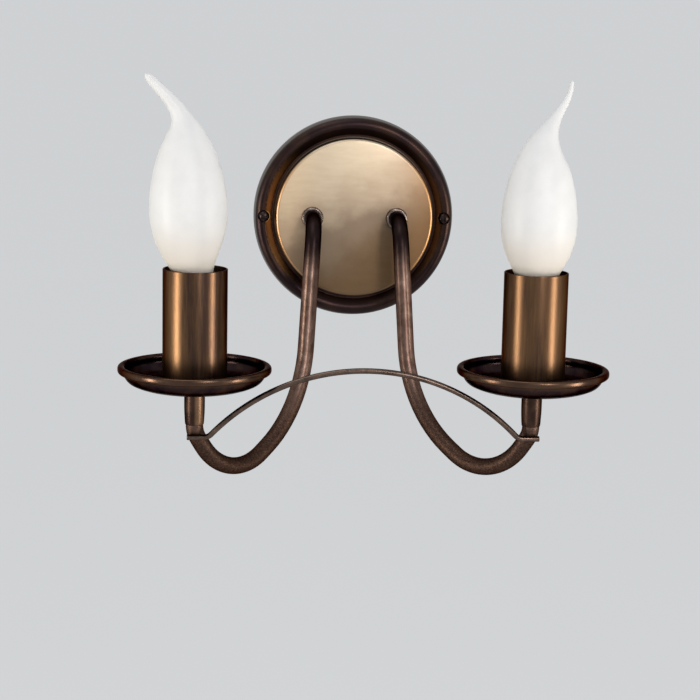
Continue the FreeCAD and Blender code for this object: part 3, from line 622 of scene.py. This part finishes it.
TUBE_RADIUS = 4.0
TUBE_BORE = 3.0
TUBE_CORNERS = (
    (ARM_X, 7.0, 0.0), (ARM_X, 35.0, 0.0), (26.3, 48.0, -90.0), (62.0, 90.0, -119.5),
    (CANDLE_X, CANDLE_OUT, -90.0), (CANDLE_X, CANDLE_OUT, -62.6))
TUBE_BENDS = (14.0, 60.0, 30.0, 12.0)


def bent_tube(side):
    """The swept arm: an outer and an inner skin, joined at both open ends."""
    corners = [from_wall(SIDES[side] * x, out, z) for x, out, z in TUBE_CORNERS]
    bm = bmesh.new()
    starts, ends = [], []
    for radius in (TUBE_RADIUS, TUBE_BORE):
        ring = ring_at(bm, corners[0], Vector((0, -1, 0)), radius, segments=40)
        starts += edges_of(ring)
        ends += edges_of(drawn_along(bm, ring, corners, TUBE_BENDS))
    bmesh.ops.bridge_loops(bm, edges=starts)
    bmesh.ops.bridge_loops(bm, edges=ends)
    finished(bm, side + "_tube", TUBE_BRONZE, "sconce", "arm_bronze", side + "_arm")


BAR_RADIUS = 1.3
BAR_ARCH_RADIUS = 97.0
BAR_PEAK = -60.0
BAR_HALF_ARCH = 70.0
BAR_OUT = 107.27
BAR_END_X = 81.2
BAR_END_BEND = 5.0
BAR_END_ROUND = 0.3


def tie_bar():
    """A round bar in an even arch, with its ends laid level across the hooks."""
    angle = math.asin(BAR_HALF_ARCH / BAR_ARCH_RADIUS)
    arch_z = BAR_PEAK - BAR_ARCH_RADIUS
    reach = BAR_END_BEND * math.tan(angle / 2)
    corner_x = BAR_HALF_ARCH + reach * math.cos(angle)
    end_z = arch_z + BAR_ARCH_RADIUS * math.cos(angle) - reach * math.sin(angle)
    corners = [from_wall(x, BAR_OUT, z) for x, z in (
        (-BAR_END_X, end_z), (-corner_x, end_z), (0, arch_z + BAR_ARCH_RADIUS / math.cos(angle)),
        (corner_x, end_z), (BAR_END_X, end_z))]
    bm = bmesh.new()
    first = ring_at(bm, corners[0], Vector((1, 0, 0)), BAR_RADIUS, segments=24)
    bends = (BAR_END_BEND, BAR_ARCH_RADIUS, BAR_END_BEND)
    last = drawn_along(bm, first, corners, bends, degrees_per_step=1.5)
    for ring in (first, last):
        bmesh.ops.contextual_create(bm, geom=edges_of(ring))
    ends = edges_of(first) + edges_of(last)
    bmesh.ops.bevel(
        bm, geom=ends, offset=BAR_END_ROUND, offset_type="OFFSET", segments=3, profile=0.5,
        affect="EDGES", material=-1)
    finished(bm, "tie_bar", ROD_BRONZE, "sconce", "rod_bronze", "tie_rod", sharp=50)


# Candles

FERRULE_BORE = 4.02
FERRULE_RADIUS = 4.75
FERRULE_FOOT = PAN_BOTTOM - 16.8


def tube_ferrule(side):
    """Turned sleeve between the hook and the pan, a little slimmer and rounded at its foot."""
    profile = (
        (FERRULE_BORE, PAN_BOTTOM), (FERRULE_RADIUS, PAN_BOTTOM), (FERRULE_RADIUS, FERRULE_FOOT + 7.0, 2.5),
        (4.42, FERRULE_FOOT + 1.2, 0.6), (4.25, FERRULE_FOOT, 0.3), (FERRULE_BORE, FERRULE_FOOT))
    finished(
        turned(profile, candle_axis(side), segments=64),
        side + "_tube_ferrule", FERRULE_BRONZE, "sconce", "ferrule_bronze", side + "_ferrule")


PAN_HOLE = 4.05
BEAD_RING = 33.4
BEAD_RADIUS = 1.7
BEAD_Z = PAN_BOTTOM + 9.0
BEAD_SQUARENESS = 0.72
BEAD_START = -111
BEAD_SWEEP = 328
BEAD_STEPS = 29


def bead_reach(part):
    """A circle's sine or cosine, pushed outwards so that the bead's sides are a little flat."""
    return BEAD_RADIUS * math.copysign(abs(part) ** BEAD_SQUARENESS, part)


def drip_pan(side):
    """A dish with a flat seat, a side that steepens outwards and a thick rolled edge."""
    bead = []
    for step in range(BEAD_STEPS + 1):
        angle = math.radians(BEAD_START + BEAD_SWEEP * step / BEAD_STEPS)
        bead.append((BEAD_RING + bead_reach(math.cos(angle)), BEAD_Z + bead_reach(math.sin(angle))))
    outer = [(PAN_HOLE, PAN_BOTTOM), (24.0, PAN_BOTTOM, 5.56), (31.4, PAN_BOTTOM + 3.8, 2.29)]
    inner = [(30.68, PAN_BOTTOM + 4.44, 1.95), (23.78, PAN_BOTTOM + PAN_SHEET, 5.34),
             (PAN_HOLE, PAN_BOTTOM + PAN_SHEET)]
    finished(
        turned(outer + bead + inner, candle_axis(side), segments=160),
        side + "_drip_pan", PAN_BRONZE, "sconce", "pan_bronze", side + "_pan", sharp=50)


SLEEVE_BORE = 13.95
SLEEVE_RADIUS = 14.75
SLEEVE_TOP = -14.3
SLEEVE_LIP = 0.3


def candle_sleeve(side):
    """A thin open tube that stands in the pan, with a softened lip."""
    seat = PAN_BOTTOM + PAN_SHEET
    profile = (
        (SLEEVE_BORE, seat), (SLEEVE_RADIUS, seat), (SLEEVE_RADIUS, SLEEVE_TOP, SLEEVE_LIP),
        (SLEEVE_BORE, SLEEVE_TOP, SLEEVE_LIP))
    finished(
        turned(profile, candle_axis(side), segments=128),
        side + "_candle_sleeve", SLEEVE_BRONZE, "sconce", "sleeve_bronze", side + "_sleeve")


# Height, sideways set-off and radius of the envelope's rings, and the lean of each ring in degrees.
# The left envelope sits a little crooked in its cap, so its body stands outwards of the candle's axis.
BULB_NECK = ((-24.4, 0.0, 7.9, 0.0), (-21.3, 0.0, 8.03, 0.0))
BULB_RINGS = {
    "left": (
        (-17.8, 0.3, 8.45, 4.0), (-14.0, 1.5, 9.8, 5.0), (-7.0, 2.5, 13.4, 3.0), (1.0, 2.9, 16.6, 2.0),
        (9.0, 3.1, 17.8, 1.0), (18.5, 3.45, 17.6, 1.0), (28.5, 3.65, 15.8, 1.0), (33.4, 3.8, 14.4, 2.0),
        (38.0, 4.1, 12.95, 4.0), (42.2, 4.4, 11.0, 5.0), (46.2, 4.85, 8.9, 8.0), (49.6, 5.25, 6.9, 13.0),
        (52.6, 6.2, 5.0, 23.0), (55.6, 7.7, 3.9, 34.0), (58.8, 9.7, 3.35, 41.0), (62.3, 12.6, 2.8, 44.0),
        (66.1, 16.3, 2.42, 45.5), (69.8, 20.0, 2.1, 46.0), (72.0, 22.1, 1.6, 46.0)),
    "right": (
        (-17.8, 0.1, 8.9, 0.0), (-14.0, 0.2, 10.9, 0.0), (-7.0, 0.4, 14.7, 0.0), (1.0, 0.4, 17.1, 0.0),
        (9.0, 0.35, 17.6, 0.0), (18.5, 0.4, 16.8, 0.0), (28.5, 0.5, 14.7, 0.0), (33.4, 0.3, 12.95, 0.0),
        (38.0, 0.25, 10.8, 2.0), (42.2, 0.75, 8.7, 9.0), (46.2, 2.0, 6.6, 18.0), (49.6, 3.6, 4.9, 26.0),
        (52.6, 5.3, 3.6, 32.0), (55.6, 7.3, 2.65, 36.0), (58.8, 9.7, 2.0, 38.0), (62.0, 12.1, 1.65, 36.0),
        (65.2, 14.1, 1.35, 28.0), (68.4, 15.2, 1.15, 15.0), (72.2, 15.7, 0.95, 4.0))}
# Where each tip points about its candle's axis: outwards, and the right one a little to the wall.
TIP_TURN = {"left": 180.0, "right": 25.0}


def bulb_envelope(side):
    """The bent-tip envelope, drawn up ring by ring and pinched shut at the tip."""
    base = candle_axis(side) @ Matrix.Rotation(math.radians(TIP_TURN[side]), 4, "Z")
    bm = bmesh.new()
    first = ring_at(bm, Vector(), Vector((0, 0, 1)), 1.0, segments=48)
    ring = None
    place = Matrix.Identity(4)
    for height, offset, radius, lean in BULB_NECK + BULB_RINGS[side]:
        ring = pushed(bm, ring) if ring else first
        target = (base @ Matrix.Translation((offset, 0, height))
                  @ Matrix.Rotation(math.radians(lean), 4, "Y")
                  @ Matrix.Diagonal((radius, radius, radius, 1)))
        bmesh.ops.transform(bm, matrix=target @ place.inverted(), verts=verts_of(ring))
        place = target
    tip = pushed(bm, ring)
    bmesh.ops.pointmerge(bm, verts=verts_of(tip), merge_co=place @ Vector((0, 0, 0.5)))
    bmesh.ops.contextual_create(bm, geom=edges_of(first))
    piece = finished(
        bm, side + "_bulb_envelope", FROSTED_GLASS, side + "_bulb", "frosted_glass", side + "_bulb_glass",
        sharp=80)
    smooth = piece.modifiers.new("smooth", "SUBSURF")
    smooth.levels = smooth.render_levels = 2


# Pieces carried over from the CAD, which show only from behind or from straight above

HIDDEN_FINISHES = {
    "zinc plated steel": (
        dict(low=(0.50, 0.49, 0.47), high=(0.66, 0.65, 0.62), grain=300, roughness=(0.28, 0.42), metal=1.0),
        ("wall_bracket", "terminal_screw", "earth_screw", "arm_washers", "arm_nuts", "pan_nuts",
         "left_holder_strap", "right_holder_strap")),
    "pale block moulding": (
        dict(low=(0.70, 0.68, 0.62), high=(0.80, 0.78, 0.72), grain=500, roughness=(0.4, 0.5)),
        ("terminal_block",)),
    "bright terminal brass": (
        dict(low=(0.55, 0.40, 0.15), high=(0.72, 0.55, 0.24), grain=600, roughness=(0.25, 0.4), metal=1.0),
        ("terminal_inserts", "left_thread_shell", "right_thread_shell", "left_centre_contact",
         "right_centre_contact")),
    "dark holder moulding": (
        dict(low=(0.012, 0.010, 0.009), high=(0.028, 0.024, 0.021), grain=400, roughness=(0.3, 0.42)),
        ("left_lampholder", "right_lampholder")),
    "white lead sheath": (
        dict(low=(0.62, 0.61, 0.57), high=(0.72, 0.71, 0.67), grain=350, roughness=(0.42, 0.55)),
        ("left_lead", "right_lead")),
    "green lead sheath": (
        dict(low=(0.06, 0.20, 0.03), high=(0.30, 0.36, 0.03), grain=120, roughness=(0.4, 0.5)),
        ("earth_lead",)),
    "clear stem glass": (
        dict(low=(0.86, 0.89, 0.88), high=(0.93, 0.95, 0.94), grain=200, roughness=(0.05, 0.1),
             Transmission_Weight=0.85),
        ("left_bulb_stem", "right_bulb_stem")),
    "bright cap metal": (
        dict(low=(0.52, 0.50, 0.46), high=(0.68, 0.66, 0.61), grain=400, roughness=(0.22, 0.34), metal=1.0),
        ("left_bulb_cap", "right_bulb_cap", "left_bulb_contact", "right_bulb_contact")),
    "black cap insulator": (
        dict(low=(0.006, 0.006, 0.008), high=(0.02, 0.02, 0.024), grain=300, roughness=(0.12, 0.2)),
        ("left_bulb_insulator", "right_bulb_insulator")),
}


def finish_carried_nodes():
    """Gives each carried piece its finish."""
    for name, (look, nodes) in HIDDEN_FINISHES.items():
        material = plain_stuff(name, **look)
        for node in nodes:
            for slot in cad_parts[node].material_slots:
                slot.material = material


# Studio

def softbox(name, where, target, width, height, radiance, colour=(1, 1, 1)):
    """A flat lamp of an even radiance, turned towards a point."""
    lamp = bpy.data.lights.new(name, "AREA")
    lamp.shape = "RECTANGLE"
    lamp.size, lamp.size_y = width, height
    lamp.energy = radiance * math.pi * width * height
    lamp.color = colour
    box = bpy.data.objects.new(name, lamp)
    bpy.context.scene.collection.objects.link(box)
    box.location = where
    box.rotation_euler = (Vector(target) - Vector(where)).to_track_quat("-Z", "Y").to_euler()


BACKGROUND = (0.62, 0.635, 0.65)
AMBIENT = 0.33
FLOOR_HEIGHT = -0.50
FLOOR_REACH = 80.0
FLOOR_SHADE = 0.62
FLOOR_GRAIN = 0.01
# How much of the floor's look is the background's own colour.
FLOOR_EVENNESS = 0.75


def seen_directly(tree):
    """One for rays from the camera, from metal and through glass, and zero for diffuse light."""
    path = tree.nodes.new("ShaderNodeLightPath")
    seen = path.outputs["Is Camera Ray"]
    for other in ("Is Glossy Ray", "Is Transmission Ray"):
        seen = worked(tree, "MAXIMUM", seen, path.outputs[other])
    return seen


def pale_surround():
    """Seen by the camera, metal and glass at the background's own colour, and by the rest as soft fill."""
    world = bpy.data.worlds.new("pale surround")
    bpy.context.scene.world = world
    world.use_nodes = True
    tree = world.node_tree
    tree.nodes.clear()
    output = tree.nodes.new("ShaderNodeOutputWorld")
    shown = tree.nodes.new("ShaderNodeBackground")
    fill = tree.nodes.new("ShaderNodeBackground")
    shown.inputs["Color"].default_value = (*BACKGROUND, 1)
    fill.inputs["Color"].default_value = (1, 0.99, 0.97, 1)
    fill.inputs["Strength"].default_value = AMBIENT
    mix = tree.nodes.new("ShaderNodeMixShader")
    tree.links.new(seen_directly(tree), mix.inputs["Fac"])
    tree.links.new(fill.outputs["Background"], mix.inputs[1])
    tree.links.new(shown.outputs["Background"], mix.inputs[2])
    tree.links.new(mix.outputs["Shader"], output.inputs["Surface"])


def pale_floor():
    """A wide floor that runs into the surround without a line, and keeps a soft shadow."""
    bm = bmesh.new()
    bmesh.ops.create_grid(bm, x_segments=1, y_segments=1, size=FLOOR_REACH)
    bmesh.ops.translate(bm, verts=bm.verts, vec=(0, 0, FLOOR_HEIGHT))
    mesh = bpy.data.meshes.new("floor")
    bm.to_mesh(mesh)
    bm.free()
    material, tree, shader, place = fresh("pale floor")
    grain = spotted(tree, place, 3.0, detail=2.0)
    low, high = ((FLOOR_SHADE + step,) * 3 for step in (-FLOOR_GRAIN, FLOOR_GRAIN))
    tree.links.new(graded(tree, grain, ((0.3, low), (0.7, high))), shader.inputs["Base Color"])
    shader.inputs["Roughness"].default_value = 0.9
    shader.inputs["Specular IOR Level"].default_value = 0.0
    level = tree.nodes.new("ShaderNodeEmission")
    lit = (1 - FLOOR_EVENNESS) * FLOOR_SHADE * AMBIENT
    level.inputs["Color"].default_value = (*((tone - lit) / FLOOR_EVENNESS for tone in BACKGROUND), 1)
    mix = tree.nodes.new("ShaderNodeMixShader")
    tree.links.new(product(tree, seen_directly(tree), FLOOR_EVENNESS), mix.inputs["Fac"])
    tree.links.new(shader.outputs["BSDF"], mix.inputs[1])
    tree.links.new(level.outputs["Emission"], mix.inputs[2])
    output = next(node for node in tree.nodes if node.type == "OUTPUT_MATERIAL")
    tree.links.new(mix.outputs["Shader"], output.inputs["Surface"])
    mesh.materials.append(material)
    floor = bpy.data.objects.new("floor", mesh)
    bpy.context.scene.collection.objects.link(floor)


BULBS = (0, -0.10, -0.05)
PANS = (0, -0.10, -0.10)
WARM_LIGHT = (1.0, 0.93, 0.82)


def studio():
    """The surround, the floor and the lamps."""
    pale_surround()
    pale_floor()
    softbox("left strip", (-0.58, -0.33, -0.08), PANS, 0.08, 0.32, 21.5, WARM_LIGHT)
    softbox("right strip", (0.60, -0.43, -0.11), PANS, 0.12, 0.32, 17.0, WARM_LIGHT)
    softbox("front box", (0.36, -1.30, 0.38), BULBS, 0.20, 0.60, 12.5, (1.0, 0.96, 0.95))
    softbox("top box", (-0.25, -0.35, 1.1), BULBS, 0.7, 0.7, 1.6)


# Fitted to the photograph, with the turns in degrees and the lens in millimetres
CAMERA_PLACE = (-0.0650, -0.9449, 0.1003)
CAMERA_YAW = 3.94
CAMERA_PITCH = 10.17
CAMERA_ROLL = -1.16
CAMERA_LENS = 96.35


def camera():
    """A long lens from slightly left, above and in front, at the photograph's angle."""
    yaw, pitch, roll = (math.radians(angle) for angle in (CAMERA_YAW, CAMERA_PITCH, CAMERA_ROLL))
    ahead = Vector((math.sin(yaw) * math.cos(pitch), math.cos(yaw) * math.cos(pitch), -math.sin(pitch)))
    level = Vector((math.cos(yaw), -math.sin(yaw), 0))
    down = ahead.cross(level)
    right = math.cos(roll) * level + math.sin(roll) * down
    down = math.cos(roll) * down - math.sin(roll) * level
    lens = bpy.data.cameras.new("camera")
    lens.sensor_width = 36
    lens.lens = CAMERA_LENS
    lens.clip_start, lens.clip_end = 0.05, 200
    eye = bpy.data.objects.new("camera", lens)
    bpy.context.scene.collection.objects.link(eye)
    turn = Matrix((right, -down, -ahead)).transposed().to_4x4()
    eye.matrix_world = Matrix.Translation(CAMERA_PLACE) @ turn
    bpy.context.scene.camera = eye


backplate()
backplate_screws()
tube_collars()
tie_bar()
for side in SIDES:
    bent_tube(side)
    tube_ferrule(side)
    drip_pan(side)
    candle_sleeve(side)
    bulb_envelope(side)
finish_carried_nodes()
studio()
camera()
bpy.context.scene.view_settings.view_transform = "Standard"

bpy.context.view_layer.update()
